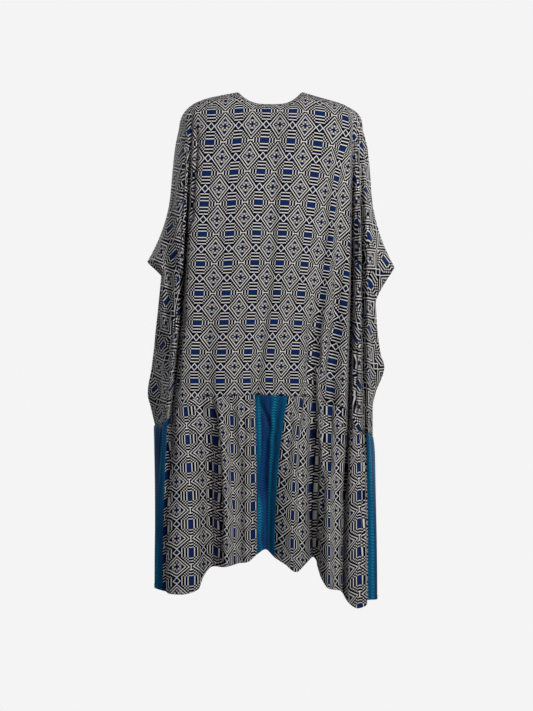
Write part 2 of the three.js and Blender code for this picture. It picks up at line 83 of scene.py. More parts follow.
# Fold lines from the shoulder seam to the waist seam: x at the shoulder seam, blade, elbow and waist;
# y at the blade, elbow and waist; height at the waist seam; share of the sleeve end's reach
Line = namedtuple("Line", "name x y seam_z cuff")
BACK = [Line(*row) for row in [
    ("left side seam", (-170, -203, -238, -250), (0, 10, 4), -728, 1),
    ("left arm crest", (-166, -200, -231, -246), (-22, -30, -30), -729, 0.5),
    ("left arm hollow", (-160, -195, -221, -240), (-40, -46, -50), -727, 0.15),
    ("left underarm crest", (-153, -187, -204, -232), (-58, -78, -72), -722, 0),
    ("left fold outer lip", (-147, -179, -193, -223), (-68, -84, -84), -714, 0),
    ("left fold bottom", (-142, -173, -186, -213), (-72, -44, -58), -704, 0),
    ("left fold inner lip", (-137, -166, -177, -202), (-82, -100, -96), -690, 0),
    ("left blade", (-123, -148, -156, -178), (-90, -108, -108), -673, 0),
    ("left soft hollow", (-108, -126, -136, -150), (-94, -108, -97), -667, 0),
    ("left back", (-92, -100, -104, -118), (-97, -112, -113), -664, 0),
    ("left neck point", (-74, -74, -70, -76), (-97, -114, -114), -663, 0),
    ("left of centre", (-36, -36, -36, -52), (-98, -115, -113), -662, 0),
    ("centre crease", (6, 10, -4, -35), (-94, -108, -103), -661, 0),
    ("right of crease", (20, 24, 12, -20), (-98, -115, -112), -661, 0),
    ("right of centre", (44, 48, 42, 26), (-98, -115, -114), -663, 0),
    ("right neck point", (66, 74, 76, 56), (-97, -114, -112), -664, 0),
    ("right soft hollow", (104, 122, 108, 76), (-94, -104, -90), -665, 0),
    ("right soft crest", (114, 138, 126, 98), (-92, -112, -112), -667, 0),
    ("right second hollow", (124, 154, 143, 124), (-88, -98, -88), -680, 0),
    ("right fold inner lip", (134, 169, 164, 156), (-79, -102, -106), -692, 0),
    ("right fold bottom", (140, 177, 174, 166), (-68, -44, -56), -712, 0),
    ("right fold outer lip", (145, 181, 182, 175), (-63, -86, -97), -734, 0),
    ("right column", (150, 185, 189, 187), (-56, -89, -98), -738, 0),
    ("right second fold bottom", (155, 190, 197, 200), (-46, -40, -54), -741, 0),
    ("right second fold lip", (159, 195, 206, 208), (-37, -70, -72), -743, 0),
    ("right arm column", (163, 198, 213, 213), (-27, -60, -50), -747, 0),
    ("right arm hollow", (167, 199, 217, 219), (-14, -30, -26), -752, 0.35),
    ("right side seam", (170, 199, 224, 223), (0, 10, 4), -752, 1),
]]
FRONT_LEFT = [Line(*row) for row in [
    ("side seam", (-170, -203, -238, -250), (0, 10, 4), -728, 1),
    ("arm crest", (-166, -200, -231, -246), (24, 46, 40), -729, 0.5),
    ("arm front", (-159, -193, -215, -230), (44, 68, 66), -724, 0.1),
    ("fold outer lip", (-148, -181, -194, -208), (60, 82, 84), -712, 0),
    ("fold bottom", (-142, -174, -185, -198), (62, 50, 56), -704, 0),
    ("fold inner lip", (-136, -165, -176, -188), (74, 98, 98), -694, 0),
    ("chest", (-120, -141, -144, -152), (84, 112, 116), -682, 0),
    ("soft hollow", (-106, -118, -114, -118), (84, 106, 100), -674, 0),
    ("soft crest", (-92, -97, -87, -88), (80, 118, 120), -669, 0),
    ("front edge", (-74, -74, -57, -53), (68, 117, 116), -664, 0),
]]
FRONT_RIGHT = [Line(*row) for row in [
    ("side seam", (170, 199, 224, 223), (0, 10, 4), -752, 1),
    ("arm crest", (166, 196, 218, 218), (24, 48, 38), -750, 0.5),
    ("arm front", (159, 189, 206, 208), (44, 70, 66), -742, 0.1),
    ("fold outer lip", (148, 178, 190, 193), (60, 84, 86), -724, 0),
    ("fold bottom", (142, 171, 181, 184), (62, 50, 54), -714, 0),
    ("fold inner lip", (136, 162, 171, 173), (74, 99, 100), -704, 0),
    ("chest", (120, 138, 144, 146), (84, 112, 117), -688, 0),
    ("soft hollow", (104, 116, 120, 121), (84, 108, 102), -680, 0),
    ("soft crest", (86, 94, 92, 92), (80, 118, 119), -672, 0),
    ("front edge", (66, 70, 58, 56), (68, 117, 116), -665, 0),
]]

# Hem of the flounce from the left front edge round the back to the right front edge: fold line of the
# body above it, place of the hem, share of the small gathers
Hem = namedtuple("Hem", "name at x y z gather")
FLOUNCE = [Hem(*row) for row in [
    ("left front edge", 0, -60, 122, -1020, 0),
    ("left front crest", 0.7, -82, 134, -1026, 1),
    ("left front hollow", 1.6, -104, 94, -1022, 1),
    ("left front crest 2", 2.6, -134, 134, -1036, 1),
    ("left front hollow 2", 3.3, -156, 92, -1036, 0.5),
    ("left front crest 3", 4.1, -182, 124, -1056, 0),
    ("left front hollow 3", 5.2, -200, 72, -1062, 0),
    ("left side crest", 6.4, -226, 96, -1080, 0),
    ("left side hollow", 7.3, -238, 52, -1082, 0.6),
    ("left side crest 2", 8.3, -257, 30, -1080, 0.8),
    ("left side crest 3", 9.6, -256, -12, -1081, 0.8),
    ("left side crest 4", 11.4, -252, -58, -1080, 0.6),
    ("left seam hollow", 13.4, -229, -76, -1084, 0),
    ("left wide crest start", 14.2, -216, -120, -1083, 0),
    ("left wide crest", 15.2, -190, -130, -1083, 0),
    ("left wide crest end", 16.2, -156, -122, -1073, 0.6),
    ("left fold under", 16.8, -146, -92, -1050, 1),
    ("left dark hollow", 17.4, -130, -60, -1034, 1),
    ("left mid crest", 18.2, -96, -112, -1027, 1),
    ("left small hollow", 19.1, -70, -98, -1021, 1),
    ("left centre crest", 20.1, -52, -112, -1017, 1),
    ("blue left hollow", 21, -31, -80, -1004, 0.4),
    ("blue right hollow", 22.2, -13, -62, -996, 0.4),
    ("blue right edge", 23.3, 8, -88, -1011, 0.5),
    ("right centre crest", 23.8, 28, -112, -1021, 1),
    ("right near crest", 24.5, 52, -126, -1036, 1),
    ("right near crest end", 25, 72, -102, -1022, 1),
    ("right dark hollow", 25.6, 90, -56, -1013, 1),
    ("right wide crest start", 26.3, 106, -108, -1052, 0.9),
    ("right wide crest", 27, 120, -130, -1070, 0.8),
    ("right wide crest end", 28, 145, -120, -1076, 0.2),
    ("right narrow hollow", 28.9, 153, -86, -1088, 0),
    ("right outer crest start", 29.9, 163, -116, -1102, 0),
    ("right outer crest", 30.6, 182, -124, -1113, 0),
    ("right outer crest end", 31.4, 202, -108, -1108, 0),
    ("right seam hollow", 32.3, 206, -70, -1104, 0),
    ("right side crest", 34, 226, -62, -1104, 0.4),
    ("right side crest 2", 35.6, 231, -14, -1106, 0.8),
    ("right side crest 3", 36.6, 228, 28, -1102, 0.8),
    ("right side hollow", 37.6, 208, 54, -1098, 0.6),
    ("right side crest 4", 38.7, 202, 98, -1086, 0),
    ("right front hollow", 39.9, 182, 74, -1070, 0),
    ("right front crest", 41, 166, 124, -1060, 0),
    ("right front hollow 2", 41.7, 148, 92, -1048, 0.5),
    ("right front crest 2", 42.4, 128, 134, -1040, 1),
    ("right front hollow 3", 43.4, 104, 94, -1028, 1),
    ("right front crest 3", 44.3, 86, 132, -1026, 1),
    ("right front edge", 45, 64, 122, -1020, 0),
]]
FLOUNCE_SWING = 2.2  # how soon below the seam the folds open out
GATHER_DEPTH = 3.2
GATHER_PEAK = 0.1  # share of the flounce's length at which the gathers are deepest

Panel = namedtuple("Panel", "name start end cloth")
PANELS = [Panel(*row) for row in [
    ("flounce_front_left", 0, 6.25, "print"),
    ("flounce_side_left", 6.25, 13, "blue"),
    ("flounce_back_left", 13, 21, "print"),
    ("flounce_back_centre", 21, 23.25, "blue"),
    ("flounce_back_right", 23.25, 32.5, "print"),
    ("flounce_side_right", 32.5, 38.75, "blue"),
    ("flounce_front_right", 38.75, 45, "print"),
]]

# Print: one repeat of its lattice of diamonds on the body cloth, across and down
REPEAT = np.array([59.7, 64.0])
# Height of each row of diamonds on the back, from the neck down
PRINT_ROWS_Z = [-83, -152, -218, -285, -349, -412, -476, -538, -602, -662]
# Columns of diamonds: heights, and for each column its number, x at those heights, and how far its
# diamonds sit below their row at the neck and at the waist
COLUMN_Z = [-83, -218, -349, -476, -602]
Column = namedtuple("Column", "number x sag")
PRINT_COLUMNS = [Column(*row) for row in [
    (-1, (-99, -112, -120, -127, -137), (5, 1)),
    (0, (-41, -55, -62, -70, -79), (0, 0)),
    (1, (18, 2, -6, -15, -28), (1, 0)),
    (2, (72, 61, 48, 33, 20), (4, 0)),
    (3, (135, 116, 99, 84, 71), (13, 2)),
    (4, (182, 154, 142, 126, 107), (24, 12)),
]]
EDGE_SAG = 16  # how much further the diamonds sag one repeat beyond the last column

# Where the print lies askew: piece, first and last fold line, the fold line that its steps follow, the
# sides of one repeat on the cloth (right, down), and the repeats counted at heights down that line
Askew = namedtuple("Askew", "piece start end at across down steps")
ASKEW = [
    Askew("back", 0, 3.2, 2, (43, -41), (17, 60), [(-411, 1, -1), (-508, 0, 0), (-665, -1.2, 2)]),
    Askew("back", 3.2, 5, 4, (43, -41), (17, 60), [(-364, 0, 0), (-536, -1, 2)]),
    Askew("back", 20, 23, 22, (42, 48), (-38, 48),
          [(-390, -0.5, -0.5), (-435, 0, 0), (-515, 0.5, 1), (-594, 1, 2), (-687, 2, 3)]),
    Askew("back", 23, 27, 25, (42, 51), (-38, 48),
          [(-175, -3, -3), (-368, -1, -1), (-475, 0, 0), (-572, 1, 1)]),
    Askew("front_left", 0, 4, 2, (43, 41), (-17, 60), [(-364, 0, 0), (-536, 1, 2)]),
    Askew("front_right", 0, 4, 2, (43, -45), (30, 52), [(-364, 0, 0), (-536, -1, 2)]),
]


def mix(a, b, t):
    return a + (b - a) * t


def between(keys, values, at):
    """A smooth value between the rows of a sorted table, with no overshoot."""
    keys, values, at = (np.asarray(part, float) for part in (keys, values, at))
    if keys[-1] < keys[0]:
        keys, at = -keys, -at
    slope = np.diff(values) / np.diff(keys)
    same_way = slope[:-1] * slope[1:] > 0
    both = np.where(same_way, slope[:-1] + slope[1:], 1)
    middle = np.where(same_way, 2 * slope[:-1] * slope[1:] / both, 0)
    tangent = np.concatenate([slope[:1], middle, slope[-1:]])
    at = np.clip(at, keys[0], keys[-1])
    i = np.clip(np.searchsorted(keys, at, side="right") - 1, 0, len(keys) - 2)
    gap = keys[i + 1] - keys[i]
    t = (at - keys[i]) / gap
    bend = t * t * (3 - 2 * t) * (values[i + 1] - values[i])
    ease = tangent[i] * gap * t * (1 - t) ** 2 - tangent[i + 1] * gap * t * t * (1 - t)
    return values[i] + bend + ease


def points_between(at, keys, points):
    return np.stack([np.interp(at, keys, points[:, k]) for k in range(3)], -1)


def soft_step(value, start, end):
    t = np.clip((value - start) / (end - start), 0, 1)
    return t * t * (3 - 2 * t)


def side_of(line):
    return "left" if line.x[0] < 0 else "right"


def neck_point(x):
    """How far out the neck point is, on the side of each x."""
    return np.where(x < 0, SHOULDERS["left"].neck, SHOULDERS["right"].neck)


def cuff_reach(side, z):
    """How far a sleeve end stands out from the outline."""
    cuff = CUFFS[side]
    above = np.clip(1 - (z - cuff.tip_z) / cuff.rise, 0, 1) ** (cuff.rise_curve + 0.5)
    below = np.clip(1 - (cuff.tip_z - z) / cuff.fall, 0, 1) ** cuff.fall_curve
    return cuff.reach * np.where(z > cuff.tip_z, above, below)


def cuff_opening(side, z):
    """Half the width of the sleeve opening: a long eye below the sleeve's point."""
    down = np.clip((CUFFS[side].tip_z - z) / CUFF_LENGTH, 0, 1)
    return CUFF_HALF_WIDTH * np.maximum(np.sin(math.pi * down ** 0.8), 0) ** 0.8


def top_points(x, is_back):
    """The shoulder seam, and for the back the neckline between its two neck points."""
    neck, slope, rounding, tip = (np.where(x < 0, a, b) for a, b in zip(*SHOULDERS.values()))
    out = np.abs(x) / neck
    along = np.maximum(np.abs(x) - neck, 0)
    seam_z = -along * slope - rounding * (along / (tip - neck)) ** 6
    if not is_back:
        return np.stack([x, 0 * x, seam_z], -1)
    inside = out < 1
    dip = np.sqrt(np.maximum(1 - out ** 2, 0))
    y = np.where(inside, -NECK_DEPTH * dip, 0)
    z = np.where(inside, -NECK_DIP * (1 - out ** NECK_CURVE), seam_z)
    return np.stack([x, y, z], -1)


def line_points(line, row, is_back):
    """One fold line at rows from the blades down."""
    side = side_of(line)
    sign = -1 if side == "left" else 1
    facing = -1 if is_back else 1
    upper = mix(BLADE_Z, ELBOW_Z, row - BLADE)
    z = np.where(row <= ELBOW, upper, mix(ELBOW_Z, line.seam_z, row - ELBOW))
    reach = line.cuff * cuff_reach(side, z)
    if line.cuff == 1:
        heights, left, right = zip(*OUTLINE)
        x = sign * (between(heights, left if side == "left" else right, z) + reach)
    else:
        x = between(LEVELS, line.x[1:], row) + sign * reach
    y = between(LEVELS, line.y, row) + facing * line.cuff * cuff_opening(side, z)
    return np.stack([x, y, z], -1)


def curve_at(points, at):
    """Smooth curves across the fold lines, one for each row, at places counted in lines."""
    last = points.shape[1] - 1
    before = 2 * points[:, :1] - points[:, 1:2]
    after = 2 * points[:, -1:] - points[:, -2:-1]
    spread = np.concatenate([before, points, after], 1)
    i = np.minimum(np.floor(at).astype(int), last - 1)
    t = (at - i)[None, :, None]
    p0, p1, p2, p3 = (spread[:, i + k] for k in range(4))

    def gap(a, b):
        return np.maximum(np.sqrt(np.linalg.norm(b - a, axis=-1, keepdims=True)), 1e-3)

    d0, d1, d2 = gap(p0, p1), gap(p1, p2), gap(p2, p3)
    m1 = ((p1 - p0) / d0 - (p2 - p0) / (d0 + d1) + (p2 - p1) / d1) * d1
    m2 = ((p2 - p1) / d1 - (p3 - p1) / (d1 + d2) + (p3 - p2) / d2) * d1
    return p1 + (p2 - p1) * t * t * (3 - 2 * t) + m1 * t * (1 - t) ** 2 - m2 * t * t * (1 - t)


def body_points(lines, is_back, at, row):
    """The body cloth: hanging below the blades, and a quarter ellipse up to the shoulder above them."""
    low = np.maximum(row, BLADE)
    hanging = curve_at(np.stack([line_points(line, low, is_back) for line in lines], 1), at)
    top_x = between(np.arange(len(lines)), [line.x[0] for line in lines], at)
    top = top_points(top_x, is_back)[None]
    turn = (math.pi / 2) * np.minimum(row, 1)[:, None, None]
    flat = mix(top[..., :2], hanging[..., :2], np.sin(turn))
    z = mix(top[..., 2:], hanging[..., 2:], 1 - np.cos(turn))
    return np.concatenate([flat, z], -1)


def unit(vectors):
    return vectors / np.maximum(np.linalg.norm(vectors, axis=-1, keepdims=True), 1e-9)


def facing_out(grid):
    down = np.gradient(grid, axis=0)
    across = np.gradient(grid, axis=1)
    return unit(np.cross(down, across))


def flatten(vectors, axis):
    """The same directions with no part along one axis."""
    flat = vectors.copy()
    flat[..., axis] = 0
    return unit(flat)


def running_length(grid, axis):
    step = np.linalg.norm(np.diff(grid, axis=axis), axis=-1)
    start = np.zeros_like(np.take(step, [0], axis=axis))
    return np.concatenate([start, np.cumsum(step, axis=axis)], axis=axis)


# The body pieces

Piece = namedtuple("Piece", "name at row outer outward smooth")
# The creases on each piece: the path as seen from outside, x and z, then the width and the depth
CREASES = {
    "back": [
        ([(-167, -90), (-171, -200), (-174, -290), (-177, -400)], 5, 17),
        ([(-180, -98), (-188, -173), (-195, -258), (-199, -343), (-206, -400)], 8, 6),
        ([(-206, -380), (-222, -545), (-226, -640)], 10, 7),
        ([(-186, -470), (-196, -544), (-200, -655)], 10, 7),
        ([(184, -80), (184, -250), (183, -353), (181, -560), (180, -700)], 4.8, 11),
        ([(209, -230), (210, -340), (209, -450)], 5, 7),
        ([(97, -430), (96, -500), (86, -566), (82, -700)], 10, 10),
        ([(96, -540), (104, -620), (106, -700)], 10, 9),
        ([(147, -250), (139, -460), (130, -545), (124, -690)], 7, 6),
        ([(9, -50), (0, -200), (-20, -420), (-35, -700)], 3.6, 1.8),
        ([(-92, -60), (-98, -180), (-104, -300)], 9, 1.6),
        ([(62, -70), (66, -190), (60, -330)], 10, 1.4),
        ([(-120, -470), (-128, -570), (-124, -690)], 9, 2.2),
    ],
    "flounce_back": [
        ([(-128, -675), (-121, -748), (-116, -828), (-109, -920), (-111, -1040)], 7, 17),
        ([(-142, -672), (-136, -760), (-131, -860), (-128, -960)], 7, 8),
        ([(-219, -720), (-222, -800), (-222, -900), (-224, -1010)], 6, 9),
        ([(-86, -690), (-83, -740), (-81, -820), (-83, -900)], 6, 8),
        ([(-99, -672), (-97, -720), (-94, -800)], 4, 4),
        ([(-72, -700), (-68, -790), (-66, -870)], 5, 3),
        ([(-172, -672), (-176, -740), (-180, -800)], 6, 3),
        ([(-13, -672), (-14, -760), (-18, -860), (-18, -990)], 5, 12),
        ([(6, -675), (4, -750), (-2, -830)], 4, 2.5),
        ([(34, -680), (34, -760), (30, -840)], 5, 4),
        ([(58, -672), (60, -760), (62, -880), (66, -1000)], 6, 6),
        ([(84, -665), (92, -748), (94, -830), (92, -920), (88, -1030)], 11, 9),
        ([(104, -668), (108, -748), (108, -830), (106, -920), (102, -1030)], 6, 9),
        ([(163, -672), (160, -760), (157, -850), (152, -960), (150, -1080)], 5.5, 13),
        ([(188, -690), (194, -760), (197, -850), (198, -950), (199, -1080)], 5, 7),
        ([(133, -680), (136, -760), (132, -860)], 7, 3),
    ],
    "flounce_front": [
        ([(-160, -680), (-156, -780), (-154, -900), (-156, -1020)], 6, 10),
        ([(-104, -680), (-106, -790), (-104, -900), (-104, -1010)], 6, 9),
        ([(-128, -680), (-132, -760), (-136, -840)], 5, 4),
        ([(-200, -700), (-204, -820), (-202, -960)], 6, 8),
        ([(104, -680), (106, -800), (104, -920), (104, -1010)], 6, 9),
        ([(146, -680), (150, -800), (148, -920), (148, -1030)], 6, 10),
        ([(84, -680), (80, -760), (76, -850)], 5, 4),
        ([(184, -710), (182, -820), (182, -960)], 6, 8),
    ],
    "front_left": [
        ([(-168, -110), (-172, -260), (-170, -400), (-174, -520)], 5, 7),
        ([(-200, -150), (-206, -300), (-214, -460)], 8, 4),
        ([(-128, -90), (-124, -240), (-130, -380)], 9, 2.4),
        ([(-142, -430), (-150, -560), (-146, -690)], 10, 4),
    ],
    "front_right": [
        ([(170, -120), (166, -280), (170, -430), (164, -600)], 5, 8),
        ([(196, -100), (200, -260), (196, -420)], 5, 4),
        ([(122, -100), (128, -220), (124, -340)], 9, 2.2),
        ([(138, -420), (130, -560), (134, -690)], 9, 4.5),
    ],
}

PAST_SEAM = 5  # a crease that ends this far below the waist height runs through the seam
SHARE_AT_SEAM = 0.55  # how far through its fade such a crease is at its end
CREASE_FADE = 0.5  # under 1, so that a crease keeps its depth for most of its length
# Where the cloth lies in layers, a place is looked for on the outer one: how much that counts
CREASE_OUTERMOST, PRINT_OUTERMOST = 0.05, 0.1

# Narrow turned hems with a groove along the stitches, and the waist seam's ridge
HEM_WIDTH, HEM_RISE, HEM_EDGE = 7, 0.5, 2
GROOVE_DEPTH, GROOVE_WIDTH = 0.35, 1.4
RIDGE_HEIGHT, RIDGE_WIDTH = 0.5, 4
CUFF_FADE = 12  # over which a sleeve end's hem dies out
SEAM_EASE = 5  # from a side seam, within which the cloth is level again

# Rows of each body piece: fine ones at the neck, then the shoulder, then the hanging cloth
NECK_END = 0.15
NECK_ROWS, SHOULDER_ROWS, HANGING_ROWS = 8, 27, 131


def body_rows():
    neck = np.linspace(0, NECK_END, NECK_ROWS)
    shoulder = np.linspace(NECK_END, BLADE, SHOULDER_ROWS)[1:]
    return np.concatenate([neck, shoulder, np.linspace(BLADE, WAIST, HANGING_ROWS)[1:]])


def body_piece(name, lines, is_back):
    """One body piece. Seen from outside, the columns of every piece run the same way round the robe."""
    last = len(lines) - 1
    at = np.linspace(0, last, last * LINE_STEPS + 1)
    if not is_back and side_of(lines[0]) == "left":
        at = at[::-1]
    row = body_rows()
    outer = body_points(lines, is_back, at, row)
    piece = Piece(name, at, row, outer, seam_facing(outer, at, last, is_back), outer)
    return piece._replace(outer=outer + piece.outward * body_relief(piece)[..., None])


def seam_facing(outer, at, last, is_back):
    """The outward directions, level with the seams where two pieces meet."""
    outward = facing_out(outer)
    side_seam = (at == 0) | (is_back & (at == last))
    outward[:, side_seam] = flatten(outward[:, side_seam], 1)
    x = outer[0, :, 0]
    shoulder = np.abs(x) >= neck_point(x) - 1e-6
    outward[0, shoulder] = flatten(outward[0, shoulder], 1)
    outward[-1] = flatten(outward[-1], 2)
    return outward


def seen_place(grid, name, x, z, outermost):
    """Row and column of the place nearest to x and z; outermost is how much an outer place is preferred."""
    side = 1 if "back" in name else -1
    far = np.hypot(grid[..., 0] - x, grid[..., 2] - z) + side * outermost * grid[..., 1]
    return np.unravel_index(np.argmin(far), far.shape)


def distance_to_path(across, down, path):
    """The distance of each point of the cloth from a path on it, and how far along the path it is."""
    nearest = np.full(across.shape, 1e9)
    share = np.zeros(across.shape)
    lengths = [math.dist(a, b) for a, b in zip(path, path[1:])]
    total = sum(lengths)
    gone = 0
    for (ax, ay), (bx, by), length in zip(path, path[1:], lengths):
        t = ((across - ax) * (bx - ax) + (down - ay) * (by - ay)) / length ** 2
        t = np.clip(t, 0, 1)
        far = np.hypot(across - ax - t * (bx - ax), down - ay - t * (by - ay))
        closer = far < nearest
        nearest = np.where(closer, far, nearest)
        share = np.where(closer, (gone + t * length) / total, share)
        gone += length
    return nearest, share


def hem_relief(distance):
    rise = HEM_RISE * (1 - soft_step(distance, HEM_WIDTH - HEM_EDGE, HEM_WIDTH))
    groove = GROOVE_DEPTH * np.exp(-((distance - HEM_WIDTH - 1) / GROOVE_WIDTH) ** 2)
    return rise - groove


def crease_relief(name, outer):
    """The listed creases, each deepest at its middle, or at the waist seam if it runs through it."""
    across, down = running_length(outer, 1), running_length(outer, 0)
    relief = np.zeros(across.shape)
    for spots, width, depth in CREASES[name]:
        places = [seen_place(outer, name, x, z, CREASE_OUTERMOST) for x, z in spots]
        far, share = distance_to_path(across, down, [(across[place], down[place]) for place in places])
        through_seam = "flounce" not in name and spots[-1][1] < WAIST_Z - PAST_SEAM
        reach = share * SHARE_AT_SEAM if through_seam else share
        fade = np.sin(math.pi * np.clip(reach, 0, 1)) ** CREASE_FADE
        relief -= depth * fade * np.exp(-(far / width) ** 2)
    return relief


def edge_distances(piece):
    """The distance of each point from the side seams, by side, and from the open front edge."""
    from_start = running_length(piece.outer, 1)
    from_end = from_start[:, -1:] - from_start
    if piece.name == "back":
        return [("left", from_start), ("right", from_end)], None
    if piece.name == "front_left":
        return [("left", from_end)], from_start
    return [("right", from_start)], from_end


def from_cuff(side, z):
    """The distance in height from the middle of a sleeve opening."""
    return np.abs(z - (CUFFS[side].tip_z - CUFF_LENGTH / 2))


def body_relief(piece):
    """Creases and turned hems, as heights above the smooth cloth."""
    down = running_length(piece.outer, 0)
    relief = crease_relief(piece.name, piece.outer)
    side_seams, front_edge = edge_distances(piece)
    for side, distance in side_seams:
        away = from_cuff(side, piece.outer[..., 2])
        inside = 1 - soft_step(away, CUFF_LENGTH / 2 - CUFF_FADE, CUFF_LENGTH / 2)
        relief += inside * hem_relief(distance)
    if front_edge is None:
        x = piece.outer[:1, :, 0]
        relief += (np.abs(x) < neck_point(x)) * hem_relief(down)
    else:
        relief += hem_relief(front_edge)
    above_seam = down[-1:] - down
    relief += RIDGE_HEIGHT * np.exp(-(above_seam / RIDGE_WIDTH) ** 2)
    for _, distance in side_seams:
        relief *= soft_step(distance, 0, SEAM_EASE)
    return relief


# The flounce

FLOUNCE_ROWS, HEM_ROWS = 84, 8
HEM_ROOM = 3  # above the hem, where its closer rows start
ROW_CURVE = 1.25  # rows lie closer near the waist seam
MIDDLE_ROW = 42  # where columns of the print are counted
BLUE_ROW = 40  # where widths of the blue cloth are counted
FLOUNCE_LENGTH = 360  # about, from the waist seam to the hem
DIP_DEPTH, DIP_WIDTH = 0.9, 3  # of the flounce just below the waist seam's ridge
CREASE_START = 40  # below the seam, from where creases have their full depth
GATHER_SPACING = (4.5, 13)
GATHER_WIDTH = (1.5, 3.4)
GATHER_HEIGHT = (0.5, 2.2)
GATHER_SIGNS = [1, 1, -0.7]  # one in three is a hollow
GATHER_LENGTH = (14, 120)
GATHER_LEAN = 0.04
GATHER_SPREAD = 60  # below the seam, where a gather is twice as wide
GATHER_START = 5  # below the seam, from where a gather has its full height
GATHER_SEED = 31


def flounce_piece(body):
    """The whole flounce as one grid, from which its panels are cut."""
    starts = [0, len(FRONT_LEFT) - 1, len(FRONT_LEFT) + len(BACK) - 2]
    seam_at = np.concatenate([start + np.linspace(0, abs(piece.at[-1] - piece.at[0]), len(piece.at))
                              for start, piece in zip(starts, body)])
    seam = np.concatenate([piece.outer[-1] for piece in body])
    facing = np.concatenate([piece.outward[-1] for piece in body])
    at = np.linspace(0, FLOUNCE[-1].at, int(FLOUNCE[-1].at * FLOUNCE_STEPS) + 1)
    top = points_between(at, seam_at, seam)
    out = unit(points_between(at, seam_at, facing))
    keys = [hem.at for hem in FLOUNCE]
    end = np.stack([between(keys, [getattr(hem, axis) for hem in FLOUNCE], at) for axis in "xyz"], -1)
    share = between(keys, [hem.gather for hem in FLOUNCE], at)
    hem_start = 1 - (HEM_WIDTH + HEM_ROOM) / FLOUNCE_LENGTH
    drop = np.concatenate([hem_start * np.linspace(0, 1, FLOUNCE_ROWS) ** ROW_CURVE,
                           np.linspace(hem_start, 1, HEM_ROWS)[1:]])
    t = drop[:, None, None]
    swing = 1 - (1 - t) ** FLOUNCE_SWING
    flat = mix(top[..., :2], end[..., :2], swing)
    height = mix(top[..., 2:], end[..., 2:], t)
    smooth = np.concatenate([flat, height], -1)
    wave = GATHER_DEPTH * share * np.sin(math.tau * at)
    gather = (drop / GATHER_PEAK * np.exp(1 - drop / GATHER_PEAK))[:, None] * wave
    outer = smooth + out * gather[..., None]
    outward = facing_out(outer)
    outward[0] = out
    along = running_length(outer[:1], 1)[0]
    down = running_length(outer, 0)
    relief = small_gathers(along, down)
    relief += hem_relief((1 - drop)[:, None] * FLOUNCE_LENGTH)
    relief -= DIP_DEPTH * np.exp(-(down / DIP_WIDTH) ** 2)
    for name in ("flounce_back", "flounce_front"):
        relief += crease_relief(name, outer) * soft_step(down, 0, CREASE_START)
    creased = outer + outward * relief[..., None]
    return Piece("flounce", at, drop, creased, facing_out(creased), outer)


def small_gathers(along, down):
    """Uneven gathers that start in the waist seam and die out below it."""
    rng = np.random.default_rng(GATHER_SEED)
    relief = np.zeros(down.shape)
    centre = 0.0
    while centre < along[-1]:
        width = rng.uniform(*GATHER_WIDTH)
        height = rng.uniform(*GATHER_HEIGHT) * rng.choice(GATHER_SIGNS)
        length = rng.uniform(*GATHER_LENGTH)
        lean = rng.uniform(-GATHER_LEAN, GATHER_LEAN)
        spread = width * (1 + down / GATHER_SPREAD)
        near = np.exp(-((along[None] - centre - lean * down) / spread) ** 2)
        fade = np.minimum(down / GATHER_START, 1) * np.exp(-(down / length) ** 2)
        relief += height * near * fade
        centre += rng.uniform(*GATHER_SPACING)
    return relief


# Where the print lies on the cloth

BACK_LINES = (7, 20)  # fold lines between which the back's columns of diamonds are placed
CENTRE_LINE = 12
FRONT_LINE = 7  # fold line of a front where a column of diamonds runs
FRONT_SAG = 0.55  # how much of the shoulder's slope the rows on a front follow


def straight_print(piece, is_back):
    """The lattice upright: counted in repeats across the rows and down the cloth."""
    across = running_length(piece.smooth, 1)
    blade = int(np.argmin(np.abs(piece.row - BLADE)))
    down = running_length(piece.smooth, 0)
    down = down - down[blade]
    x = piece.smooth[..., 0]
    level = BLADE_Z - down
    if is_back:
        middle = slice(BACK_LINES[0] * LINE_STEPS, BACK_LINES[1] * LINE_STEPS)
        number = np.array([column.number for column in PRINT_COLUMNS])
        columns = np.zeros(across.shape)
        sag = np.zeros(across.shape)
        for r in range(len(piece.row)):
            height = level[r, CENTRE_LINE * LINE_STEPS]
            thread_x = [np.interp(-height, -np.array(COLUMN_Z), column.x) for column in PRINT_COLUMNS]
            thread = np.interp(thread_x, x[r, middle], across[r, middle])
            columns[r] = beyond_ends(thread, number, across[r], REPEAT[0])
            low = float(soft_step(-height, 0, -WAIST_Z))
            sags = [mix(column.sag[0], column.sag[1], low) for column in PRINT_COLUMNS]
            sag[r] = np.interp(across[r], [*thread, thread[-1] + REPEAT[0]], [*sags, sags[-1] + EDGE_SAG])
    else:
        start = across[:, int(np.argmin(np.abs(piece.at - FRONT_LINE)))]
        columns = (across - start[:, None]) / REPEAT[0]
        sag = -FRONT_SAG * top_points(piece.smooth[0, :, 0], False)[None, :, 2]
    rows = -np.array(PRINT_ROWS_Z, float)
    return np.stack([columns, beyond_ends(rows, np.arange(len(rows)), -(level + sag), REPEAT[1])], -1)


def beyond_ends(keys, numbers, at, repeat):
    """Numbers between the keys, counted on by whole repeats beyond the first and last key."""
    inside = np.interp(at, keys, numbers)
    return inside + (np.minimum(at - keys[0], 0) + np.maximum(at - keys[-1], 0)) / repeat


SLANT_SHARE = 0.3  # how much of a slanting stretch counts where the print is laid askew


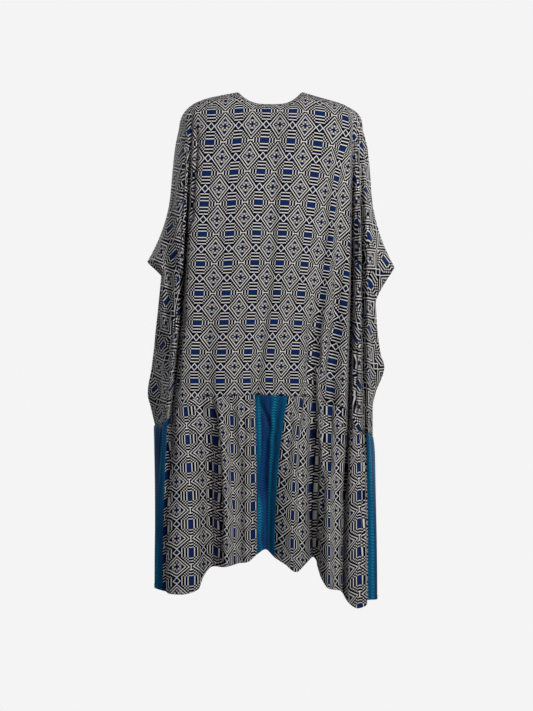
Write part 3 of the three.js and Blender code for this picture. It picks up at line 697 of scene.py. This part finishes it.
def askew_print(piece, zone):
    """The lattice laid askew, counted down one fold line and across from it."""
    seen = piece.smooth * np.array([1, SLANT_SHARE, 1])
    across = running_length(seen, 1)
    column = int(np.argmin(np.abs(piece.at - zone.at)))
    inverse = np.linalg.inv(np.array([zone.across, zone.down]).T)
    heights, steps_across, steps_down = (np.array(part, float) for part in zip(*zone.steps))
    z = piece.smooth[:, column, 2]
    beyond = np.minimum(-z + heights[0], 0) + np.maximum(-z + heights[-1], 0)
    line = [np.interp(-z, -heights, steps) + beyond * rate
            for steps, rate in ((steps_across, inverse[0, 1]), (steps_down, inverse[1, 1]))]
    aside = across - across[:, column:column + 1]
    return np.stack([start[:, None] + aside * rate for start, rate in zip(line, inverse[:, 0])], -1)


def print_on_body(piece, is_back):
    """The print's place at the four corners of each face of the piece."""
    zones = [straight_print(piece, is_back)]
    middles = (piece.at[1:] + piece.at[:-1]) / 2
    zone_of = np.zeros(len(middles), int)
    for zone in ASKEW:
        if zone.piece == piece.name:
            zone_of[(middles > zone.start) & (middles < zone.end)] = len(zones)
            zones.append(askew_print(piece, zone))
    return corners(np.stack(zones), zone_of)


def corners(maps, zone_of):
    """The map's values at each face's corners, from the map that its column uses."""
    j = np.arange(len(zone_of))
    return np.stack([maps[zone_of, :-1, j], maps[zone_of, 1:, j],
                     maps[zone_of, 1:, j + 1], maps[zone_of, :-1, j + 1]], 2).transpose(1, 0, 2, 3)


# A diamond of each column of the print on the flounce: its number, and its x and z as seen from outside.
# A half number is a rectangle
FLOUNCE_PRINT = {
    "flounce_front_left": [(0, -112, -830), (1, -160, -830)],
    "flounce_back_left": [(0, -205, -785), (0.5, -178, -785), (1, -150, -786), (2, -98, -801),
                          (3, -64, -812), (3.5, -40, -812)],
    "flounce_back_right": [(0, 29, -820), (1, 66, -833), (1.5, 86, -836), (2.5, 123, -845),
                           (3, 136, -848), (3.5, 155, -847), (4.5, 186, -845)],
    "flounce_front_right": [(0, 160, -830), (1, 112, -830)],
}


def print_on_flounce(flounce, name):
    """The lattice turned a quarter: columns follow the folds, diamonds are counted down the cloth."""
    seen = flounce.smooth[MIDDLE_ROW:MIDDLE_ROW + 1] * np.array([1, SLANT_SHARE, 1])
    along = running_length(seen, 1)[0]
    down = running_length(flounce.smooth, 0)
    keys = []
    for number, x, z in FLOUNCE_PRINT[name]:
        row, column = seen_place(flounce.smooth, name, x, z, PRINT_OUTERMOST)
        keys.append((along[column], number, down[row, column]))
    lengths, numbers, starts = (np.array(part, float) for part in zip(*sorted(keys)))
    b = beyond_ends(lengths, numbers, along, REPEAT[1] * (1 if numbers[-1] > numbers[0] else -1))
    a = (down - np.interp(along, lengths, starts)[None]) / REPEAT[0]
    return np.stack([a, b[None] + 0 * a], -1)


def blue_map(piece):
    """Lengths across and down a blue panel, in metres."""
    down = running_length(piece.outer, 0)
    middle = running_length(piece.outer[BLUE_ROW:BLUE_ROW + 1], 1) + 0 * down
    return np.stack([middle, down], -1) * MM


# Meshes

def add_object(name, data):
    obj = bpy.data.objects.new(name, data)
    bpy.context.scene.collection.objects.link(obj)
    return obj


def shell(name, outer, outward, corner_map, face_finish, reverse_finish):
    """A thin closed sheet: the outer face, the reverse, and the narrow edges between them."""
    rows, columns = outer.shape[:2]
    inner = outer - outward * CLOTH
    spots = np.concatenate([outer.reshape(-1, 3), inner.reshape(-1, 3)]) * MM
    number = np.arange(rows * columns).reshape(rows, columns)
    a, b, c, d = number[:-1, :-1], number[1:, :-1], number[1:, 1:], number[:-1, 1:]
    face = np.stack([a, b, c, d], -1).reshape(-1, 4)
    reverse = rows * columns
    flat_map = corner_map.reshape(-1, 4, 2)
    faces, maps = [face, face[:, ::-1] + reverse], [flat_map, flat_map[:, ::-1]]
    inside = flat_map.reshape(rows - 1, columns - 1, 4, 2)
    # The top, bottom, first and last edges: the print runs on over them
    edges = [
        (d[0], a[0], inside[0, :, 3], inside[0, :, 0]),
        (b[-1], c[-1], inside[-1, :, 1], inside[-1, :, 2]),
        (a[:, 0], b[:, 0], inside[:, 0, 0], inside[:, 0, 1]),
        (c[:, -1], d[:, -1], inside[:, -1, 2], inside[:, -1, 3]),
    ]
    for start, end, start_map, end_map in edges:
        faces.append(np.stack([end, start, start + reverse, end + reverse], -1))
        maps.append(np.stack([end_map, start_map, start_map, end_map], 1))
    everything = np.concatenate(faces)
    mesh = bpy.data.meshes.new(name)
    mesh.from_pydata(spots.tolist(), [], everything.tolist())
    layer = mesh.uv_layers.new(name="cloth")
    layer.data.foreach_set("uv", np.concatenate(maps).reshape(-1))
    mesh.materials.append(face_finish)
    mesh.materials.append(reverse_finish)
    slots = np.zeros(len(everything), int)
    slots[len(face):2 * len(face)] = 1
    mesh.polygons.foreach_set("material_index", slots)
    mesh.polygons.foreach_set("use_smooth", np.ones(len(everything), bool))
    mesh.update()
    obj = add_object(name, mesh)
    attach(obj, "root")
    return obj


# Finishes

BLUR = 0.12  # width of the soft edge of each shape in the print, in the print's units


def math_node(operation, swapped=False):
    """A method of Value that adds one Math node."""
    def method(self, *others):
        numbers = (*others, self) if swapped else (self, *others)
        return self.finish.math(operation, *numbers)
    return method


class Value:
    """A number that changes over the cloth. A sum on it adds its Math nodes."""

    def __init__(self, finish, socket):
        self.finish, self.socket = finish, socket

    __add__ = __radd__ = math_node("ADD")
    __sub__ = math_node("SUBTRACT")
    __rsub__ = math_node("SUBTRACT", swapped=True)
    __mul__ = __rmul__ = math_node("MULTIPLY")
    __truediv__ = math_node("DIVIDE")
    __abs__ = math_node("ABSOLUTE")
    most = math_node("MAXIMUM")
    fraction = math_node("FRACT")
    sine = math_node("SINE")

    def beyond(self, edge, soft=BLUR):
        """1 where the value is past an edge, 0 before it, with a soft border."""
        return self.finish.math("MULTIPLY_ADD", self, 1 / soft, 0.5 - edge / soft, clamp=True)

    def before(self, edge, soft=BLUR):
        """1 where the value is short of an edge."""
        return self.finish.math("MULTIPLY_ADD", self, -1 / soft, 0.5 + edge / soft, clamp=True)


class Finish:
    """A material and the nodes that make it."""

    def __init__(self, name):
        self.material = bpy.data.materials.new(name)
        self.material.use_nodes = True
        self.tree = self.material.node_tree
        self.shader = self.tree.nodes["Principled BSDF"]

    def node(self, kind, settings=(), inputs=()):
        node = self.tree.nodes.new("ShaderNode" + kind)
        for name, value in dict(settings).items():
            setattr(node, name, value)
        self.connect(node, inputs)
        return node

    def connect(self, node, inputs):
        for name, value in dict(inputs).items():
            value = getattr(value, "socket", value)
            if isinstance(value, bpy.types.NodeSocket):
                self.tree.links.new(value, node.inputs[name])
            else:
                node.inputs[name].default_value = value

    def math(self, operation, *numbers, clamp=False):
        node = self.node("Math", {"operation": operation, "use_clamp": clamp}, enumerate(numbers))
        return Value(self, node.outputs[0])

    def mixed(self, first, second, factor, blend="MIX"):
        """Two colours mixed."""
        settings = {"data_type": "RGBA", "blend_type": blend}
        return self.node("Mix", settings, {0: factor, 6: first, 7: second}).outputs[2]

    def cloth_place(self):
        """The two values of the cloth's own map."""
        place = self.node("UVMap", {"uv_map": "cloth"}).outputs[0]
        parts = self.node("SeparateXYZ", (), {0: place})
        return Value(self, parts.outputs[0]), Value(self, parts.outputs[1]), place

    def noise(self, vector, scale, detail=2.0, stretch=(1, 1, 1)):
        moved = self.node("VectorMath", {"operation": "MULTIPLY"}, {0: vector, 1: stretch}).outputs[0]
        node = self.node("TexNoise", (), {"Vector": moved, "Scale": scale, "Detail": detail})
        return Value(self, node.outputs[0])

    def weave(self, across, down, pitch, strength, streak):
        """The relief of a plain weave: threads in metres across and down, and thicker streaks."""
        threads = (across * (math.tau / pitch)).sine() * (down * (math.tau / pitch)).sine()
        settings = {"Strength": strength, "Distance": 0.0004, "Height": threads * 0.5 + streak}
        return self.node("Bump", (), settings).outputs[0]


def colour(red, green, blue):
    """A colour from its 0 to 255 values as they look on screen."""
    def linear(part):
        part = part / 255
        return part / 12.92 if part <= 0.04045 else ((part + 0.055) / 1.055) ** 2.4
    return (linear(red), linear(green), linear(blue), 1.0)


# The print's lattice is charted in small units, of which one repeat has CELL across and down
CELL = (28.2, 31.2)
CREAM = colour(253, 250, 240)
NAVY = colour(2, 4, 39)
BRIGHT = colour(17, 48, 108)
BROWN = colour(118, 104, 92)
PRINT_REVERSE = colour(150, 140, 120)
PRINT_WEAVE = 0.0009  # from thread to thread, in metres


def lattice(across, down):
    """The print in its units: how much cream, bright blue and brown lies on the navy."""
    x = abs((across + 0.5).fraction() - 0.5) * CELL[0]
    y = abs((down + 0.5).fraction() - 0.5) * CELL[1]
    far_x, far_y = CELL[0] / 2 - x, CELL[1] / 2 - y
    diamond = (x / 10.4 + y / 13.3) * 8.2
    small = (far_x / 3.7 + y / 4.3) * 2.8

    def bands(value, half, *middles):
        lines = [abs(value - middle).before(half) for middle in middles]
        return functools.reduce(Value.most, lines)

    # Stripes above and below the bright rectangle, uprights beside it, squares where they cross
    stripes = bands(far_y, 0.52, 3.4, 6.75, 10.1)
    uprights = bands(far_x, 0.42, 5.4, 8.3, 11.2)
    squares = ((far_x - 4.7) * (math.pi / 1.45)).sine() * ((far_y - 2.6) * (math.pi / 1.675)).sine()
    beside, above = far_y.before(2.45), far_x.before(4.7)
    corner = beside * uprights + (1 - beside) * squares.before(-0.3, 0.2)
    cream = above * stripes + (1 - above) * corner
    bright = far_x.before(4.2) * far_y.before(2.1)
    # The small diamond between two large ones
    cream = cream * far_y.before(11.0) * small.beyond(3.7)
    ring = small.before(2.85) * small.beyond(2.0)
    bright = bright.most(small.before(1.3) * 0.6)
    # The large diamond's rings
    outside = diamond.beyond(9.9)
    rings = bands(diamond, 0.42, 8.3, 5.95)
    bow = (far_y - (x - 1.9).most(0)).before(0.5) * x.before(3.3)
    # The flower: a bar, four petals, and light dots between them
    ground = diamond.before(5.4)
    upper = (x + (y - 5.2).most(0) * 0.8).before(2.5) * (y - x * 0.4).beyond(4.3)
    side = (y + (x - 4.5).most(0) * 0.9).before(2.2) * (x - y * 0.3).beyond(2.7)
    bar = x.before(1.0) * y.before(2.8)
    arms = y.before(0.8) * x.before(3.0)
    notch = abs(x - 4.0).before(0.8) * y.before(0.45)
    middle_dot = (x * x + (y - 3.8) * (y - 3.8)).before(0.8, 0.5)
    side_dot = ((x - 2.1) * (x - 2.1) + (y - 1.9) * (y - 1.9)).before(0.6, 0.5)
    petals = upper.most(side).most(bar).most(arms)
    light = notch.most(middle_dot).most(side_dot)
    worn = ground * (1 - petals) * (1 - light)
    cream = (cream * outside).most(rings).most(ring).most(bow).most(ground * light)
    return cream.most(worn * 0.4), (bright * outside).most(ground * petals * 0.35), worn * 0.5


def print_finish(name, is_reverse):
    """Light printed cloth with a fine plain weave."""
    finish = Finish(name)
    across, down, place = finish.cloth_place()
    cream, bright, worn = lattice(across, down)
    patchy = finish.noise(place, 1.7, 3.0)
    streak = finish.noise(place, 6.0, 2.0, (1.5, 22, 1))
    base = finish.mixed(NAVY, BRIGHT, bright)
    base = finish.mixed(base, CREAM, cream)
    base = finish.mixed(base, BROWN, worn)
    base = finish.mixed(base, PRINT_REVERSE, 0.3) if is_reverse else base
    shade = patchy * 0.25 + streak * 0.2 + 0.775
    grey = finish.node("CombineColor", (), {0: shade, 1: shade, 2: shade}).outputs[0]
    base = finish.mixed(base, grey, 1.0, "MULTIPLY")
    bump = finish.weave(across * REPEAT[0] * MM, down * REPEAT[1] * MM, PRINT_WEAVE, 0.25, streak)
    rough = patchy * 0.15 + 0.62
    finish.connect(finish.shader, {"Base Color": base, "Roughness": rough, "Normal": bump,
                                   "Sheen Weight": 0.02, "Sheen Roughness": 0.5,
                                   "Specular IOR Level": 0.08})
    return finish.material


TEAL = colour(9, 98, 150)
CYAN = colour(44, 196, 226)
DEEP = colour(23, 70, 140)
VIOLET = colour(45, 42, 120)
SHADOW_BLUE = colour(5, 22, 48)
BLUE_REVERSE = colour(70, 110, 150)
BLUE_REPEAT = 0.062  # metres from one pair of teal bands to the next
BLUE_WEAVE = 0.0008


def blue_finish(name, is_reverse):
    """Bright blue cloth with feathered teal bands, rows of dots and violet patches."""
    finish = Finish(name)
    across, down, place = finish.cloth_place()
    wobble = finish.noise(place, 22, 2.0) * 0.0035
    band = ((across + wobble) / BLUE_REPEAT).fraction()
    cloudy = finish.noise(place, 26, 4.0, (1, 0.5, 1))
    streak = finish.noise(place, 60, 3.0, (1, 0.12, 1))

    def row_at(middle, half, soft=0.03):
        return abs(band - middle).before(half, soft)

    teal = row_at(0.14, 0.15, 0.05).most(row_at(0.84, 0.13, 0.05))
    base = finish.mixed(DEEP, VIOLET, cloudy.beyond(0.52, 0.16) * 0.85)
    base = finish.mixed(base, TEAL, teal)
    # Slanting ticks along the middle of each teal band, and broken ones over the whole cloth
    slant, slant_2 = abs(band - 0.2) * 30, abs(band - 0.8) * -30
    ticks = (down * (math.tau / 0.0068) + slant).sine().beyond(0.1, 0.5) * row_at(0.2, 0.055)
    ticks_2 = (down * (math.tau / 0.0062) + slant_2).sine().beyond(0.1, 0.5) * row_at(0.8, 0.04)
    base = finish.mixed(base, CYAN, ticks.most(ticks_2) * (cloudy * 0.8 + 0.2))
    speckle = (across * (math.tau / 0.0062)).sine() * (down * (math.tau / 0.0056) + streak * 9).sine()
    base = finish.mixed(base, SHADOW_BLUE, speckle.beyond(0.3, 0.4) * 0.6)
    base = finish.mixed(base, CYAN, speckle.before(-0.5, 0.3) * 0.32)
    dotted = (down * (math.tau / 0.0058)).sine().beyond(0.2, 0.5)
    dots = (dotted * row_at(0.695, 0.016, 0.012)).most(dotted * row_at(0.93, 0.014, 0.012))
    base = finish.mixed(base, SHADOW_BLUE, dots * 0.8)
    base = finish.mixed(base, SHADOW_BLUE, streak.beyond(0.56, 0.2) * 0.4)
    base = finish.mixed(base, BLUE_REVERSE, 0.25) if is_reverse else base
    bump = finish.weave(across, down, BLUE_WEAVE, 0.3, streak)
    finish.connect(finish.shader, {"Base Color": base, "Roughness": 0.5, "Normal": bump,
                                   "Sheen Weight": 0.02, "Specular IOR Level": 0.12})
    return finish.material


# Sewing

STITCH_PITCH, STITCH_LENGTH, STITCH_HALF = 3.6, 2.5, 0.28
STITCH_LIFT = 0.12
# How far stitches stop short of a sleeve end's tips, a neck point, and in columns the flounce's ends
CUFF_MARGIN, NECK_MARGIN, END_COLUMNS = 4, 6, 3
STITCH_INSET = 1.2  # from the inner edge of a hem
THREAD = colour(34, 36, 66)


def stitch_row(places, outward):
    """Small pointed stitches along a line on the cloth, each with its six corners."""
    step = np.linalg.norm(np.diff(places, axis=0), axis=1)
    length = np.concatenate([[0], np.cumsum(step)])
    middle = np.arange(STITCH_PITCH, length[-1] - STITCH_PITCH, STITCH_PITCH)
    ahead, behind = (points_between(middle + by, length, places) for by in (0.5, -0.5))
    along = unit(ahead - behind)
    up = unit(points_between(middle, length, outward))
    aside = unit(np.cross(up, along))
    centre = points_between(middle, length, places) + up * STITCH_LIFT
    half = STITCH_LENGTH / 2
    corners_of = [centre - along * half, centre + aside * STITCH_HALF, centre + up * STITCH_HALF,
                  centre - aside * STITCH_HALF, centre - up * STITCH_HALF, centre + along * half]
    return np.stack(corners_of, 1).reshape(-1, 3)


def stitches(body, flounce):
    """Thread rows on the turned hems of the neck, front edges, sleeve ends and flounce."""
    lines = []
    offset = HEM_WIDTH - STITCH_INSET

    def along_column(piece, distance, shown):
        """The line on the piece at the stitches' distance from an edge, in the rows that show."""
        rows = np.arange(len(piece.row))
        column = np.argmin(np.abs(distance - offset), axis=1)
        places, outward = piece.outer[rows, column], piece.outward[rows, column]
        near = shown(places[:, 2])
        lines.append((places[near], outward[near]))

    for piece in body:
        side_seams, front_edge = edge_distances(piece)
        for side, distance in side_seams:
            along_column(piece, distance, lambda z: from_cuff(side, z) < CUFF_LENGTH / 2 - CUFF_MARGIN)
        if front_edge is None:
            down = running_length(piece.outer, 0)
            row = int(np.argmin(np.abs(down[:, down.shape[1] // 2] - offset)))
            x = piece.outer[0, :, 0]
            inside = np.abs(x) < neck_point(x) - NECK_MARGIN
            lines.append((piece.outer[row, inside], piece.outward[row, inside]))
        else:
            along_column(piece, front_edge, lambda z: np.arange(len(z)) >= NECK_ROWS)
    hem = int(np.argmin(np.abs((1 - flounce.row) * FLOUNCE_LENGTH - offset)))
    shown = slice(END_COLUMNS, -END_COLUMNS)
    lines.append((flounce.outer[hem, shown], flounce.outward[hem, shown]))
    spots = np.concatenate([stitch_row(*line) for line in lines]) * MM
    corner = np.array([(0, 1, 2), (0, 2, 3), (0, 3, 4), (0, 4, 1),
                       (5, 2, 1), (5, 3, 2), (5, 4, 3), (5, 1, 4)])
    faces = (np.arange(len(spots) // 6)[:, None, None] * 6 + corner[None]).reshape(-1, 3)
    thread = Finish("thread")
    thread.connect(thread.shader, {"Base Color": THREAD, "Roughness": 0.6, "Specular IOR Level": 0.2})
    mesh = bpy.data.meshes.new("hem_stitches")
    mesh.from_pydata(spots.tolist(), [], faces.tolist())
    mesh.materials.append(thread.material)
    mesh.update()
    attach(add_object("hem_stitches", mesh), "root")


# Making the robe


def make_robe():
    printed = print_finish("printed cloth", False), print_finish("printed cloth reverse", True)
    blue = blue_finish("blue cloth", False), blue_finish("blue cloth reverse", True)
    tables = [("front_left", FRONT_LEFT, False), ("back", BACK, True), ("front_right", FRONT_RIGHT, False)]
    body = [body_piece(*table) for table in tables]
    for piece, (name, lines, is_back) in zip(body, tables):
        outward = seam_facing(piece.outer, piece.at, len(lines) - 1, is_back)
        obj = shell(name + "_cloth", piece.outer, outward, print_on_body(piece, is_back), *printed)
        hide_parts(name)
    flounce = flounce_piece(body)
    for panel in PANELS:
        first, last = int(panel.start * FLOUNCE_STEPS), int(panel.end * FLOUNCE_STEPS) + 1
        grids = [grid[:, first:last] for grid in (flounce.outer, flounce.outward, flounce.smooth)]
        cut = Piece(panel.name, flounce.at[first:last], flounce.row, *grids)
        if panel.cloth == "print":
            place = print_on_flounce(flounce, panel.name)[:, first:last]
            finishes = printed
        else:
            place = blue_map(cut)
            finishes = blue
        corner_map = corners(place[None], np.zeros(last - first - 1, int))
        obj = shell(panel.name + "_cloth", cut.outer, cut.outward, corner_map, *finishes)
        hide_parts(panel.name)
    stitches(body, flounce)


# Studio

CAMERA_PLACE = (-0.011, -3.3, -0.5775)
SENSOR_HEIGHT, LENS = 24, 50.63


def make_camera():
    camera = bpy.data.cameras.new("camera")
    camera.sensor_fit = "VERTICAL"
    camera.sensor_height = SENSOR_HEIGHT
    camera.lens = LENS
    obj = add_object("camera", camera)
    obj.location = CAMERA_PLACE
    obj.rotation_euler = (math.radians(90), 0, 0)
    bpy.context.scene.camera = obj


BACKDROP = colour(244, 244, 244)
SOFT_LIGHT = (0.09, 0.09, 0.1, 1)
FLOOR_Z, FLOOR_RADIUS, FLOOR_SIDES = -1.42, 9, 96
LAMP_AIM = (0, 0, -0.55)
# Lamps: name, place, width in metres, watts
LAMPS = [
    ("key", (1.2, -2.5, 1.0), 0.7, 53),
    ("fill", (-1.2, -3.2, -0.1), 0.8, 6),
    ("behind left", (-2.3, 2.6, 0.9), 1.4, 44),
    ("behind right", (2.4, 2.2, 0.3), 1.4, 34),
]


def make_studio():
    world = bpy.data.worlds.new("studio")
    world.use_nodes = True
    nodes, links = world.node_tree.nodes, world.node_tree.links
    nodes["Background"].inputs["Color"].default_value = SOFT_LIGHT
    backdrop = nodes.new("ShaderNodeBackground")
    backdrop.inputs["Color"].default_value = BACKDROP
    both = nodes.new("ShaderNodeMixShader")
    links.new(nodes.new("ShaderNodeLightPath").outputs["Is Camera Ray"], both.inputs[0])
    links.new(nodes["Background"].outputs[0], both.inputs[1])
    links.new(backdrop.outputs[0], both.inputs[2])
    links.new(both.outputs[0], nodes["World Output"].inputs[0])
    bpy.context.scene.world = world
    mesh = bpy.data.meshes.new("floor")
    angles = [math.tau * k / FLOOR_SIDES for k in range(FLOOR_SIDES)]
    rim = [(FLOOR_RADIUS * math.cos(a), FLOOR_RADIUS * math.sin(a), FLOOR_Z) for a in angles]
    mesh.from_pydata(rim, [], [list(range(FLOOR_SIDES))])
    pale = Finish("pale floor")
    pale.connect(pale.shader, {"Base Color": (0, 0, 0, 1), "Roughness": 1.0, "Specular IOR Level": 0.0,
                               "Emission Color": BACKDROP, "Emission Strength": 1.0})
    mesh.materials.append(pale.material)
    floor = add_object("floor", mesh)
    floor.visible_diffuse = False
    floor.visible_glossy = False
    for name, place, size, power in LAMPS:
        lamp = bpy.data.lights.new(name, "AREA")
        lamp.size = size
        lamp.energy = power
        obj = add_object(name, lamp)
        obj.location = place
        aim = np.array(LAMP_AIM) - np.array(place)
        obj.rotation_euler = (math.acos(-aim[2] / np.linalg.norm(aim)), 0, math.atan2(-aim[0], aim[1]))
    bpy.context.scene.view_settings.view_transform = "Standard"


make_robe()
make_camera()
make_studio()
